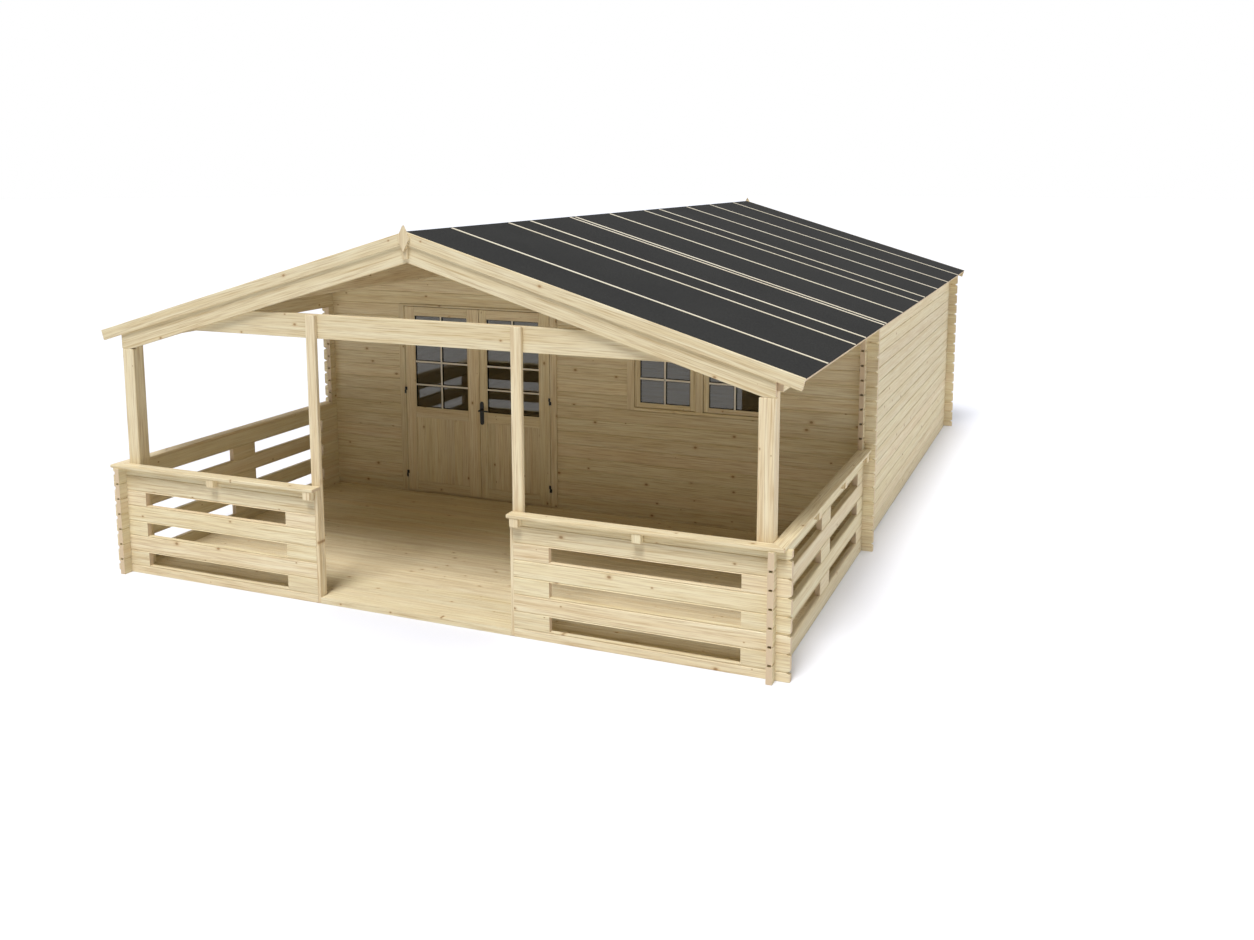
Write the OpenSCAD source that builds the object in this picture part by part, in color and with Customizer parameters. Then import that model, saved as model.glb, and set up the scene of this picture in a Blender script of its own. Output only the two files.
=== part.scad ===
// Log-built garden house with a covered veranda.
// Millimetres, +Z up, front towards -Y, origin under the middle of the outline.

/* [Logs] */
// height of one log course
log_h = 121; // [110:1:140]
// thickness of a log
log_t = 40; // [28:1:60]
// side logs past the walls that cross them
log_over = 76; // [50:1:120]
// front and back logs past the side walls
cross_over = 93; // [60:1:120]
// depth of the V groove between two courses
groove = 6; // [3:1:9]
// depth of the V notch in the ends of the front and back logs at each joint
nick = 28; // [5:1:40]
// height of that notch
nick_h = 30; // [10:1:50]
// depth of the square pocket in the ends of the side logs at each joint
pocket_d = 40; // [10:1:48]
// height of that pocket
pocket_h = 17; // [8:1:25]
// log left on either side of that pocket at the joint
pocket_lip = 1.5; // [1:0.5:6]

/* [House] */
// width over the side walls
house_w = 5274; // [4600:2:6000]
// front of the railing to the front wall of the room
veranda_d = 2710; // [2200:5:3200]
// depth of the room over its front and back walls
cabin_d = 5216; // [4600:2:5800]
// courses in a side wall, the eave beam included
side_courses = 16; // [15:1:18]

/* [Floor] */
// height of the bearers
bearer_h = 26; // [20:1:60]
// width of the bearers
bearer_w = 70; // [45:1:100]
// number of bearers across the house
bearer_n = 6; // [4:1:9]
// thickness of the floor boards
floor_t = 18; // [15:1:28]

/* [Roof] */
// roof pitch in degrees
pitch = 16.4; // [12:0.1:22]
// eave past the side wall
eave_over = 147; // [100:1:300]
// roof past the back wall
rear_over = 174; // [100:1:300]
// thickness of the roof boards
board_t = 18; // [15:1:24]
// thickness of the felt
felt_t = 3; // [2:0.5:6]
// width of a felt batten
batten_w = 14; // [10:1:40]
// thickness of a felt batten
batten_t = 7; // [4:1:20]
// felt battens, from the front edge of the boards
batten_at = [560, 1430, 1805, 2590, 2646, 3450, 4340, 4760, 5620, 6440, 7360];
// depth of the purlins
purlin_h = 145; // [120:1:180]
// thickness of the purlins
purlin_t = 44; // [38:1:70]
// mid purlin from the ridge line
purlin_x = 1318; // [1100:1:1500]
// clearance around a purlin in its notch
purlin_gap = 0.5; // [0.2:0.1:2]
// clearance under the roof boards and under the battens
roof_gap = 0.2; // [0.1:0.1:0.5]

/* [Gable frame] */
// thickness of the front rafters
rafter_t = 38; // [30:1:60]
// depth of the front rafters
rafter_w = 183; // [140:1:210]
// level cut of a rafter from the inside of its corner post
seat_in = 36; // [20:1:70]
// thickness of the barge boards
barge_t = 18; // [15:1:28]
// width of the barge boards
barge_w = 82; // [60:1:120]
// middle of the finial below the ridge line
finial_drop = 25; // [0:1:60]
// height of the finial
finial_h = 180; // [120:1:240]
// width of the finial
finial_w = 96; // [50:1:120]
// thickness of the finial
finial_t = 18; // [12:1:24]
// width of the stem behind the finial, over the joint of the rafters
stem_w = 46; // [30:1:60]
// stem below the point of the finial
stem_h = 50; // [20:1:80]
// underside of the tie beam
tie_z = 1950; // [1880:1:2000]
// depth of the tie beam
tie_h = 175; // [120:1:200]
// thickness of the tie beam
tie_t = 40; // [30:1:60]

/* [Veranda] */
// courses in a railing
rail_courses = 7; // [5:1:8]
// clear way in between the railings
entry_w = 1572; // [1200:2:1800]
// railing left solid between its slots and a corner
slot_end = 226; // [160:1:300]
// railing left solid beside the way in
slot_entry = 290; // [200:1:350]
// railing left solid between the two bays at the side
slot_mid = 282; // [150:1:350]
// railing left solid at the wall of the room
slot_wall = 240; // [150:1:300]
// shoulder left of a course above and below a slot
slot_lip = 7; // [4:1:15]
// thickness of the end boards beside the way in
end_t = 24; // [18:1:30]
// thickness of the railing cap
cap_t = 24; // [18:1:35]
// cap past the railing
cap_over = 60; // [40:1:75]
// cap bracket out from the railing
bracket = 56; // [40:1:70]
// width of a cap bracket
bracket_w = 64; // [40:1:90]
// height of a cap bracket
bracket_h = 60; // [40:1:90]
// corner posts
post = 107; // [80:1:120]
// width of the posts beside the way in
inner_post_w = 78; // [60:1:100]
// thickness of the posts beside the way in
inner_post_t = 38; // [30:1:60]

/* [Door] */
// clear width between the door jambs
door_w = 1544; // [1300:2:1700]
// middle of the doorway from the ridge line
door_x = -1002; // [-1100:1:-900]
// thickness of the jambs
jamb = 25; // [20:1:40]
// thickness of the head over the leaves
head_t = 13; // [10:1:40]
// height of the trim over the leaves
head_trim = 16; // [10:1:60]
// width of the outside trim
trim_w = 64; // [45:1:80]
// thickness of the outside trim
trim_t = 18; // [12:1:24]
// stop that stands in behind the leaf
stop_w = 14; // [8:1:20]
// thickness of a leaf
leaf_t = 40; // [32:1:46]
// clearance around a leaf
leaf_gap = 5.5; // [5:0.5:8]
// meeting line of the leaves from the middle of the doorway
meet = 38; // [0:1:60]
// width of the stiles at the hinges
stile = 105; // [85:1:120]
// meeting stile of the left leaf
left_stile = 120; // [85:1:140]
// meeting stile of the right leaf
right_stile = 74; // [60:1:120]
// top rail of a leaf
top_rail = 82; // [70:1:110]
// middle rail of a leaf
mid_rail = 97; // [80:1:130]
// bottom rail of a leaf
bottom_rail = 92; // [80:1:130]
// lower panel of a leaf
panel_h = 631; // [500:1:700]
// thickness of the lower panel
panel_t = 22; // [14:1:28]
// thickness of the glass
glass_t = 4; // [3:1:6]
// lower hinge above the bottom rail
hinge_low = 66; // [40:1:150]
// upper hinge above the foot of the glass
hinge_high = 160; // [60:1:400]
// height of a hinge
hinge_h = 64; // [50:1:120]
// radius of a hinge knuckle
knuckle_r = 7; // [5:0.5:8]
// width of a hinge plate
hinge_w = 12; // [10:1:50]
// thickness of a hinge plate
hinge_t = 3; // [2:0.5:5]
// clearance between the knuckles of a hinge
knuckle_gap = 0.4; // [0.2:0.1:1]
// height of the handle plate
plate_h = 221; // [160:1:250]
// width of the handle plate
plate_w = 40; // [30:1:50]
// thickness of the handle plate
plate_t = 5; // [3:1:8]
// handle plate above the handle bar
plate_up = 78; // [60:1:120]
// handle plate in from the edge of its leaf
plate_in = 1; // [0.5:0.5:30]
// handle above the floor
lever_z = 871; // [750:1:1000]
// radius of the handle bar
lever_r = 8; // [6:0.5:10]
// reach of the handle along the door
lever_l = 86; // [70:1:130]
// handle bar in front of its plate
lever_out = 52; // [35:1:60]
// clearance between the handle and its plate
lever_gap = 0.3; // [0.2:0.1:1]

/* [Window] */
// width of a sash
sash_w = 564; // [500:1:660]
// height of a sash
sash_h = 736; // [600:1:760]
// middle of the window from the ridge line
window_x = 1202; // [1100:1:1300]
// sash above the ground
window_z = 1064; // [1000:1:1100]
// stiles of a sash
sash_stile = 44; // [36:1:80]
// rails of a sash
sash_rail = 36; // [30:1:60]
// thickness of a sash
sash_t = 36; // [28:1:44]
// clearance around a sash
sash_gap = 4; // [2:0.5:6]
// post between the sashes
mullion = 68; // [30:1:90]
// thickness of the window frame
win_jamb = 25; // [20:1:40]
// width of the window trim
win_trim = 68; // [30:1:80]
// height of the trim over the window
win_head = 40; // [30:1:70]
// overlap of the stop behind a sash
win_stop = 12; // [6:1:25]
// sash set back from the face of the trim
sash_back = 12; // [2:1:16]

/* [Hidden] */
wx = house_w / 2;
yf = (log_over - veranda_d - cabin_d - rear_over - finial_t) / 2;
yc = yf + veranda_d;
yb = yc + cabin_d;
wall_top = side_courses * log_h;
beam_z = wall_top - log_h;
zr = wall_top + wx * tan(pitch);
skin = board_t + felt_t;
slope_l = (wx + eave_over - skin * sin(pitch)) / cos(pitch);
roof_y0 = yf + log_t;
roof_y1 = yb + rear_over - barge_t;
rail_h = rail_courses * log_h;
post_y = yf + log_t;
tie_y = post_y + max(inner_post_t, rafter_t);
floor_z = bearer_h + floor_t;
post_x = wx - log_t - post;
seat_z = under(post_x + seat_in) - rafter_w / cos(pitch);
door_z0 = log_h / 2;
door_z1 = (side_courses - 1 / 2) * log_h;
leaf_z0 = door_z0 + leaf_gap;
leaf_z1 = door_z1 - head_t;
leaf_h = leaf_z1 - leaf_gap - leaf_z0;
left_w = (door_w - 3 * leaf_gap) / 2 + meet;
right_w = (door_w - 3 * leaf_gap) / 2 - meet;
leaf_y = yc - trim_t;
hinge_y = leaf_y - knuckle_r;
plate_x = door_x + meet + leaf_gap / 2 + plate_w / 2 + plate_in;
glass_z = leaf_z0 + bottom_rail + panel_h + mid_rail;
glass_h = leaf_z0 + leaf_h - top_rail - glass_z;
win_w = 2 * sash_w + mullion + 4 * sash_gap;
win_h = sash_h + 2 * sash_gap;
win_z = window_z - sash_gap;
sash_y = yc - trim_t + sash_back;
big = 4 * (house_w + veranda_d + cabin_d);
$fn = 48;

// which sub-part to draw, or all of them

// underside of the roof boards at a distance from the ridge line
function under(x) = wall_top + (wx - abs(x)) * tan(pitch);

// a point down the right slope: s along it from the ridge, n above the underside of the boards
function on_slope(s, n) = [s * cos(pitch) + n * sin(pitch), zr - s * sin(pitch) + n * cos(pitch)];

// the same height on the plumb cut at the ridge
function at_ridge(n) = on_slope(-n * tan(pitch), n);

// joints between courses, counted from the first joint, that leave room for a cut of half height h
function joints(first, z0, z1, h) = [for (k = [0 : side_courses + 12])
  if (first + k * log_h > z0 + h && first + k * log_h < z1 - h) first + k * log_h];

// edge of a stack of logs going up, with a V of depth d and half height h at each joint
function edge_up(u, d, h, z0, z1, first) = concat([[u, z0]],
  [for (z = joints(first, z0, z1, h)) for (p = [[u, z - h], [u + d, z], [u, z + h]]) p], [[u, z1]]);

// the far edge of the same stack, going down
function edge_down(u, d, h, z0, z1, first) = let (e = edge_up(u, -d, h, z0, z1, first), n = len(e) - 1)
  [for (i = [0 : n]) e[n - i]];

// cross-section of stacked logs
module log_section(first, z0, z1) {
  polygon(concat(edge_up(0, groove, groove, z0, z1, first), edge_down(log_t, groove, groove, z0, z1, first)));
}

// puts a profile drawn in X and Z along Y
module along_y(y0, y1) {
  translate([0, y1, 0]) rotate([90, 0, 0]) linear_extrude(y1 - y0) children();
}

// puts a profile drawn in Y and Z along X
module along_x(x0, x1) {
  translate([x0, 0, 0]) rotate([90, 0, 90]) linear_extrude(x1 - x0) children();
}

module block(x0, x1, y0, y1, z0, z1) {
  translate([x0, y0, z0]) cube([x1 - x0, y1 - y0, z1 - z0]);
}

// what the front and back walls keep for themselves where they cross a side wall
module cross_laps(y, z0, z1) {
  for (s = [-1, 1]) for (k = [0 : side_courses]) let (a = max(z0, (k - 1 / 4) * log_h),
    b = min(z1, (k + 1 / 4) * log_h)) if (b > a)
    block(s > 0 ? wx - log_t : -wx, s > 0 ? wx : log_t - wx, y, y + log_t, a, b);
}

// what the side walls keep for themselves there
module side_laps(y, z0, z1) {
  for (s = [-1, 1]) for (k = [0 : side_courses]) let (a = max(z0, (k + 1 / 4) * log_h),
    b = min(z1, (k + 3 / 4) * log_h)) if (b > a)
    block(s > 0 ? wx - log_t : -wx, s > 0 ? wx : log_t - wx, y, y + log_t, a, b);
}

// logs running front to back on the right-hand side, notched over the walls that cross them
module side_logs(profile, top) {
  intersection() {
    along_y(yf - big / 4, yb + big / 4) translate([wx - log_t, 0])
      log_section(log_h, 0, top);
    along_x(wx - log_t, wx) polygon(profile);
  }
}

// square pockets that the cut tongues leave in the ends of the side logs, reaching from y to y + d
module end_pockets(y, d, z0, z1) {
  for (z = joints(log_h, z0, z1, pocket_h)) block(wx - log_t + groove + pocket_lip, wx - groove - pocket_lip,
    min(y, y + d), max(y, y + d), z - pocket_h / 2, z + pocket_h / 2);
}

// logs running left to right, with notched ends
module cross_logs(y, x0, x1, profile) {
  intersection() {
    along_x(x0, x1) translate([y, 0]) log_section(log_h / 2, 0, big / 4);
    along_y(y, y + log_t) polygon(profile);
  }
}

module side_wall() {
  y0 = yc - log_over;
  y1 = yb + log_over;
  difference() {
    side_logs([[yc, 0], [yc, rail_h], [y0, rail_h], [y0, beam_z], [y1, beam_z], [y1, 0]], beam_z);
    cross_laps(yc, 0, beam_z);
    cross_laps(yb - log_t, 0, beam_z);
    end_pockets(y0, pocket_d, rail_h, beam_z);
    end_pockets(y1, -pocket_d, 0, beam_z);
  }
}

module right_wall() color("BurlyWood") side_wall();

module left_wall() color("BurlyWood") mirror([1, 0, 0]) side_wall();

// top log of each side, running on over the veranda
module eave_beam() {
  difference() {
    along_y(post_y + rafter_t, roof_y1) polygon([[wx - log_t, beam_z], [wx, beam_z],
      [wx, under(wx)], [wx - log_t, under(wx - log_t)]]);
    cross_laps(yc, beam_z, zr);
    cross_laps(yb - log_t, beam_z, zr);
  }
}

module eave_beams() color("BurlyWood") {
  eave_beam();
  mirror([1, 0, 0]) eave_beam();
}

// outline of a gable wall between two heights
function gable_outline(z0, z1) = let (x = wx + cross_over, ze = min(z1, under(x)))
  concat(edge_up(-x, nick, nick_h / 2, z0, ze, log_h / 2), z1 > ze ? [[0, under(0)]] : [],
  edge_down(x, nick, nick_h / 2, z0, ze, log_h / 2));

module purlin_notches(y) {
  block(-purlin_t / 2 - purlin_gap, purlin_t / 2 + purlin_gap, y - 1, y + log_t + 1,
    zr - purlin_t / 2 * tan(pitch) - purlin_h - purlin_gap, zr + 1);
  for (s = [-1, 1]) block(s * purlin_x - purlin_t / 2 - purlin_gap, s * purlin_x + purlin_t / 2 + purlin_gap,
    y - 1, y + log_t + 1, under(purlin_x + purlin_t / 2) - purlin_h - purlin_gap, zr);
}

module back_wall() color("BurlyWood") difference() {
  cross_logs(yb - log_t, -wx - cross_over, wx + cross_over, gable_outline(0, zr));
  side_laps(yb - log_t, 0, zr);
  purlin_notches(yb - log_t);
}

module front_wall_left() color("BurlyWood") difference() {
  cross_logs(yc, -wx - cross_over, door_x - door_w / 2 - jamb, gable_outline(0, door_z1));
  side_laps(yc, 0, zr);
}

module front_wall_right() color("BurlyWood") difference() {
  cross_logs(yc, door_x + door_w / 2 + jamb, wx + cross_over, gable_outline(0, door_z1));
  side_laps(yc, 0, zr);
  block(window_x - win_w / 2 - win_jamb, window_x + win_w / 2 + win_jamb, yc - 1, yc + log_t + 1,
    win_z - win_jamb, win_z + win_h + win_jamb);
}

module front_gable() color("BurlyWood") difference() {
  cross_logs(yc, -wx - cross_over, wx + cross_over, gable_outline(door_z1, zr));
  side_laps(yc, 0, zr);
  purlin_notches(yc);
}

module floor_boards(y0, y1) {
  block(log_t - wx, wx - log_t, y0, y1, bearer_h, floor_z);
}

module cabin_floor() color("Wheat") floor_boards(yc + log_t, yb - log_t);

module veranda_floor() color("Wheat") floor_boards(post_y, yc);

// bearers front to back, and a beam that closes the floor in the way in
module floor_bearers() color("Tan") {
  for (i = [0 : bearer_n - 1]) let (x = -wx + log_t + (house_w - 2 * log_t - bearer_w) * i / (bearer_n - 1)) {
    block(x, x + bearer_w, post_y, yc, 0, bearer_h);
    block(x, x + bearer_w, yc + log_t, yb - log_t, 0, bearer_h);
  }
  block(-entry_w / 2, entry_w / 2, yf, post_y, 0, floor_z);
}

// one jamb with its trim and stop, on the right of the doorway
module door_jamb() {
  x = door_w / 2;
  y = leaf_y + leaf_t + leaf_gap;
  block(x, x + jamb, yc, yc + log_t, door_z0, leaf_z1);
  block(x, x + trim_w, yc - trim_t, yc, door_z0, leaf_z1);
  block(x - stop_w, x + jamb, y, yc + log_t, door_z0, leaf_z1);
}

module door_jambs() color("Tan") translate([door_x, 0, 0]) {
  door_jamb();
  mirror([1, 0, 0]) door_jamb();
}

module door_head() color("Tan") translate([door_x, 0, 0]) {
  x = door_w / 2;
  block(-x - jamb, x + jamb, yc, yc + log_t, leaf_z1, door_z1);
  block(-x - trim_w, x + trim_w, yc - trim_t, yc, leaf_z1, leaf_z1 + head_trim);
  block(stop_w - x, x - stop_w, leaf_y + leaf_t + leaf_gap, yc + log_t, leaf_z1 - stop_w, leaf_z1);
}

// half log under the doors
module door_sill() color("Tan") block(door_x - door_w / 2 - jamb, door_x + door_w / 2 + jamb,
  yc, yc + log_t, 0, door_z0);

// a leaf of width w from its hinge edge at x = 0, glazed above and panelled below between its stiles
module leaf(w, x1) {
  difference() {
    block(0, w, leaf_y, leaf_y + leaf_t, leaf_z0, leaf_z0 + leaf_h);
    block(stile, x1, leaf_y - 1, leaf_y + leaf_t + 1, glass_z, glass_z + glass_h);
    for (y = [leaf_y - 1, leaf_y + (leaf_t + panel_t) / 2])
      block(stile, x1, y, y + (leaf_t - panel_t) / 2 + 1, leaf_z0 + bottom_rail,
        leaf_z0 + bottom_rail + panel_h);
  }
}

module leaf_glass(x1) {
  block(stile, x1, leaf_y + (leaf_t - glass_t) / 2, leaf_y + (leaf_t + glass_t) / 2, glass_z, glass_z + glass_h);
}

// two hinges at a leaf's edge: the lower knuckle on the jamb, the upper one on the leaf
module hinge_halves(on_leaf) {
  for (z = [leaf_z0 + bottom_rail + hinge_low, glass_z + hinge_high]) {
    z0 = on_leaf ? z + knuckle_gap : z - hinge_h / 2;
    z1 = on_leaf ? z + hinge_h / 2 : z;
    translate([-leaf_gap / 2, hinge_y, z0]) cylinder(r = knuckle_r, h = z1 - z0);
    block(on_leaf ? -leaf_gap / 2 : -leaf_gap - hinge_w, on_leaf ? hinge_w : -leaf_gap / 2,
      leaf_y - hinge_t, leaf_y, z0, z1);
  }
}

module at_left_leaf() translate([door_x - door_w / 2 + leaf_gap, 0, 0]) children();

module at_right_leaf() translate([door_x + door_w / 2 - leaf_gap, 0, 0]) mirror([1, 0, 0]) children();

module left_door() color("Tan") at_left_leaf() leaf(left_w, left_w - left_stile);

module right_door() color("Tan") at_right_leaf() leaf(right_w, right_w - right_stile);

module left_door_glass() color("LightSteelBlue") at_left_leaf() leaf_glass(left_w - left_stile);

module right_door_glass() color("LightSteelBlue") at_right_leaf() leaf_glass(right_w - right_stile);

module frame_hinges() color("DimGray") {
  at_left_leaf() hinge_halves(false);
  at_right_leaf() hinge_halves(false);
}

module left_hinges() color("DimGray") at_left_leaf() hinge_halves(true);

module right_hinges() color("DimGray") at_right_leaf() hinge_halves(true);

// plate with round ends
module handle_plate() color("DimGray") along_y(leaf_y - plate_t, leaf_y) {
  z1 = floor_z + lever_z + plate_up - plate_w / 2;
  z0 = z1 - plate_h + plate_w;
  translate([plate_x - plate_w / 2, z0]) square([plate_w, z1 - z0]);
  for (z = [z0, z1]) translate([plate_x, z]) circle(plate_w / 2);
}

// neck and bar of the handle, the bar with a round end
module handle_lever() color("DimGray") translate([plate_x, leaf_y - plate_t - lever_gap, floor_z + lever_z]) {
  rotate([90, 0, 0]) cylinder(r = lever_r, h = lever_out + lever_r);
  translate([0, -lever_out, 0]) rotate([0, 90, 0]) cylinder(r = lever_r, h = lever_l);
  translate([lever_l, -lever_out, 0]) sphere(lever_r);
}

module window_frame() color("Tan") translate([window_x, 0, win_z]) difference() {
  union() {
    block(-win_w / 2 - win_jamb, win_w / 2 + win_jamb, yc, yc + log_t, -win_jamb, win_h + win_jamb);
    block(-win_w / 2 - win_trim, win_w / 2 + win_trim, yc - trim_t, yc, -win_jamb, win_h + win_head);
  }
  for (s = [-1, 1]) translate([s * (win_w + mullion) / 4, 0, 0]) {
    block(-sash_w / 2 - sash_gap, sash_w / 2 + sash_gap, yc - trim_t - 1, sash_y + sash_t, 0, win_h);
    block(win_stop - sash_w / 2, sash_w / 2 - win_stop, yc, yc + log_t + 1, win_stop + sash_gap,
      win_h - win_stop - sash_gap);
  }
}

module at_sashes() for (s = [-1, 1])
  translate([window_x + s * (win_w + mullion) / 4 - sash_w / 2, sash_y, window_z]) children();

module window_sashes() color("Tan") at_sashes() difference() {
  cube([sash_w, sash_t, sash_h]);
  translate([sash_stile, -1, sash_rail]) cube([sash_w - 2 * sash_stile, sash_t + 2, sash_h - 2 * sash_rail]);
}

module window_glass() color("LightSteelBlue") at_sashes()
  translate([sash_stile, (sash_t - glass_t) / 2, sash_rail])
    cube([sash_w - 2 * sash_stile, glass_t, sash_h - 2 * sash_rail]);

// band of a sloping board: n0 to n1 above the underside of the roof boards, out to s1
module slope_band(y0, y1, n0, n1, s1) {
  along_y(y0, y1) polygon([at_ridge(n0), on_slope(s1, n0), on_slope(s1, n1), at_ridge(n1)]);
}

// front rafter, cut plumb at the outside of the corner post and level on its seat
module rafter() {
  difference() {
    intersection() {
      slope_band(post_y, post_y + rafter_t, -rafter_w, 0, slope_l);
      block(0, wx - log_t, post_y - 1, post_y + rafter_t + 1, 0, zr + 1);
    }
    block(post_x + seat_in, wx, post_y - 1, post_y + rafter_t + 1, 0, seat_z);
  }
}

module right_rafter() color("Wheat") rafter();

module left_rafter() color("Wheat") mirror([1, 0, 0]) rafter();

module barges() {
  slope_band(roof_y0 - barge_t, roof_y0, skin - barge_w, skin, slope_l);
  slope_band(roof_y1, roof_y1 + barge_t, skin - barge_w, skin, slope_l);
}

module right_barges() color("Wheat") barges();

module left_barges() color("Wheat") mirror([1, 0, 0]) barges();

// a diamond over the joint of the barge boards, and under them the stem that it is fixed to
module finial(y, stem_y) {
  z = zr - finial_drop;
  x = stem_w / 2;
  z1 = at_ridge(skin - barge_w)[1];
  along_y(y, y + finial_t)
    polygon([[0, z - finial_h / 2], [finial_w / 2, z], [0, z + finial_h / 2], [-finial_w / 2, z]]);
  along_y(stem_y, stem_y + barge_t) polygon([[-x, z - finial_h / 2 - stem_h], [x, z - finial_h / 2 - stem_h],
    [x, z1 - x * tan(pitch)], [0, z1], [-x, z1 - x * tan(pitch)]]);
}

module finials() color("Wheat") {
  finial(roof_y0 - barge_t - finial_t, roof_y0 - barge_t);
  finial(roof_y1 + barge_t, roof_y1);
}

module purlin(y0, y1, x) {
  t = purlin_t / 2;
  along_y(y0, y1) polygon([[x - t, under(abs(x) + t) - purlin_h], [x + t, under(abs(x) + t) - purlin_h],
    [x + t, under(x + t)], if (x == 0) [0, under(0)], [x - t, under(x - t)]]);
}

module ridge_purlin() color("Tan") purlin(post_y + rafter_t, roof_y1, 0);

module mid_purlins() color("Tan") for (s = [-1, 1]) purlin(post_y + rafter_t, roof_y1, s * purlin_x);

module roof_half() slope_band(roof_y0, roof_y1, roof_gap, board_t, slope_l);

module right_roof() color("Wheat") roof_half();

module left_roof() color("Wheat") mirror([1, 0, 0]) roof_half();

module roof_felt() color("DimGray") along_y(roof_y0, roof_y1) {
  r = [on_slope(slope_l, board_t), on_slope(slope_l, skin)];
  polygon([at_ridge(board_t), r[0], r[1], at_ridge(skin), [-r[1][0], r[1][1]], [-r[0][0], r[0][1]]]);
}

module roof_battens() color("Wheat") for (y = batten_at) if (roof_y0 + y + batten_w < roof_y1)
  for (s = [0, 1]) mirror([s, 0, 0]) along_y(roof_y0 + y, roof_y0 + y + batten_w)
    polygon([on_slope(batten_w, skin + roof_gap), on_slope(slope_l, skin + roof_gap),
      on_slope(slope_l, skin + batten_t), on_slope(batten_w, skin + batten_t)]);

// a corner post inside the railing corner, its front cut down to a level seat for the rafter
module corner_post() {
  x1 = post_x + post;
  block(post_x, x1, post_y, post_y + post, floor_z, seat_z);
  along_y(post_y + rafter_t, post_y + post) polygon([[post_x, floor_z], [x1, floor_z], [x1, under(x1)],
    [post_x, under(post_x)]]);
}

// the inner posts stand behind the railing ends and carry the tie beam
module veranda_posts() color("Wheat") for (s = [0, 1]) mirror([s, 0, 0]) {
  corner_post();
  block(entry_w / 2, entry_w / 2 + inner_post_w, post_y, post_y + inner_post_t, floor_z, tie_z + tie_h);
}

// tie beam on the backs of the rafters and inner posts, cut to the slope
module tie_beam() color("Wheat") along_y(tie_y, tie_y + tie_t) {
    x1 = min(post_x, (under(0) - tie_z - tie_h) / tan(pitch));
    z1 = min(tie_z + tie_h, under(post_x));
    polygon([[-post_x, tie_z], [post_x, tie_z], [post_x, z1], [x1, tie_z + tie_h], [-x1, tie_z + tie_h],
      [-post_x, z1]]);
  }

// courses of a railing with every second one cut away
module slots_x(x0, x1) for (k = [1 : 2 : rail_courses - 2])
  block(x0, x1, yf - 1, yf + log_t + 1, (k - 1 / 2) * log_h + slot_lip, (k + 1 / 2) * log_h - slot_lip);

module slots_y(y0, y1) for (k = [1 : 2 : rail_courses - 2])
  block(wx - log_t - 1, wx + 1, y0, y1, k * log_h + slot_lip, (k + 1) * log_h - slot_lip);

module front_railing() {
  x = wx + cross_over;
  difference() {
    cross_logs(yf, entry_w / 2 + end_t, x, concat([[0, 0], [0, rail_h]],
      edge_down(x, nick, nick_h / 2, 0, rail_h, log_h / 2)));
    side_laps(yf, 0, rail_h);
    slots_x(entry_w / 2 + slot_entry, wx - slot_end);
  }
}

module front_right_railing() color("Wheat") front_railing();

module front_left_railing() color("Wheat") mirror([1, 0, 0]) front_railing();

module side_railing() {
  y0 = yf + slot_end;
  y1 = yc - slot_wall;
  difference() {
    side_logs([[yf - log_over, 0], [yf - log_over, rail_h], [yc, rail_h], [yc, 0]], rail_h);
    cross_laps(yf, 0, rail_h);
    end_pockets(yf - log_over, pocket_d, 0, rail_h);
    slots_y(y0, (y0 + y1 - slot_mid) / 2);
    slots_y((y0 + y1 + slot_mid) / 2, y1);
  }
}

module right_railing() color("BurlyWood") side_railing();

module left_railing() color("BurlyWood") mirror([1, 0, 0]) side_railing();

module rail_ends() color("Wheat") for (s = [0, 1]) mirror([s, 0, 0])
  block(entry_w / 2, entry_w / 2 + end_t, yf, yf + log_t, 0, rail_h);

// caps mitred at the corner
module front_caps() color("Wheat") for (s = [0, 1]) mirror([s, 0, 0])
  translate([0, 0, rail_h]) linear_extrude(cap_t) polygon([[entry_w / 2, yf - cap_over],
    [wx + cap_over, yf - cap_over], [wx - log_t, yf + log_t], [entry_w / 2, yf + log_t]]);

module side_caps() color("Wheat") for (s = [0, 1]) mirror([s, 0, 0])
  translate([0, 0, rail_h]) linear_extrude(cap_t) polygon([[wx + cap_over, yf - cap_over], [wx + cap_over, yc],
    [wx, yc], [wx, yc - log_over], [wx - log_t, yc - log_over], [wx - log_t, yf + log_t]]);

// blocks that carry the overhang of the caps
module rail_brackets() color("Wheat") for (s = [0, 1]) mirror([s, 0, 0]) {
  x0 = entry_w / 2 + end_t;
  z0 = rail_h - bracket_h;
  for (x = [x0, (x0 + wx - bracket_w) / 2]) block(x, x + bracket_w, yf - bracket, yf, z0, rail_h);
  for (i = [1 : 3]) let (y = yf + log_t + (veranda_d - log_t - log_over - bracket_w) * i / 3)
    block(wx, wx + bracket, y, y + bracket_w, z0, rail_h);
}

left_wall();
right_wall();
back_wall();
front_wall_left();
front_wall_right();
front_gable();
eave_beams();
cabin_floor();
veranda_floor();
floor_bearers();
door_jambs();
door_head();
door_sill();
left_door();
right_door();
left_door_glass();
right_door_glass();
frame_hinges();
left_hinges();
right_hinges();
handle_plate();
handle_lever();
window_frame();
window_sashes();
window_glass();
veranda_posts();
tie_beam();
left_rafter();
right_rafter();
left_barges();
right_barges();
finials();
ridge_purlin();
mid_purlins();
left_roof();
right_roof();
roof_felt();
roof_battens();
front_left_railing();
front_right_railing();
left_railing();
right_railing();
rail_ends();
front_caps();
side_caps();
rail_brackets();
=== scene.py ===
# %% [markdown]
# # A log-built garden house with a veranda
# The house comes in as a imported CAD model: walls of stacked logs, posts, rails, roof boards and doors.
# This lesson dresses that model. Planed spruce is painted on the solids that are right as they are, and the
# boards, bars, beads and small ironwork that the solids leave out are built here and ride on the same bodies.

# %% Load the frame
import math
import bmesh
import bpy
from mathutils import Matrix, Vector


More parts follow.
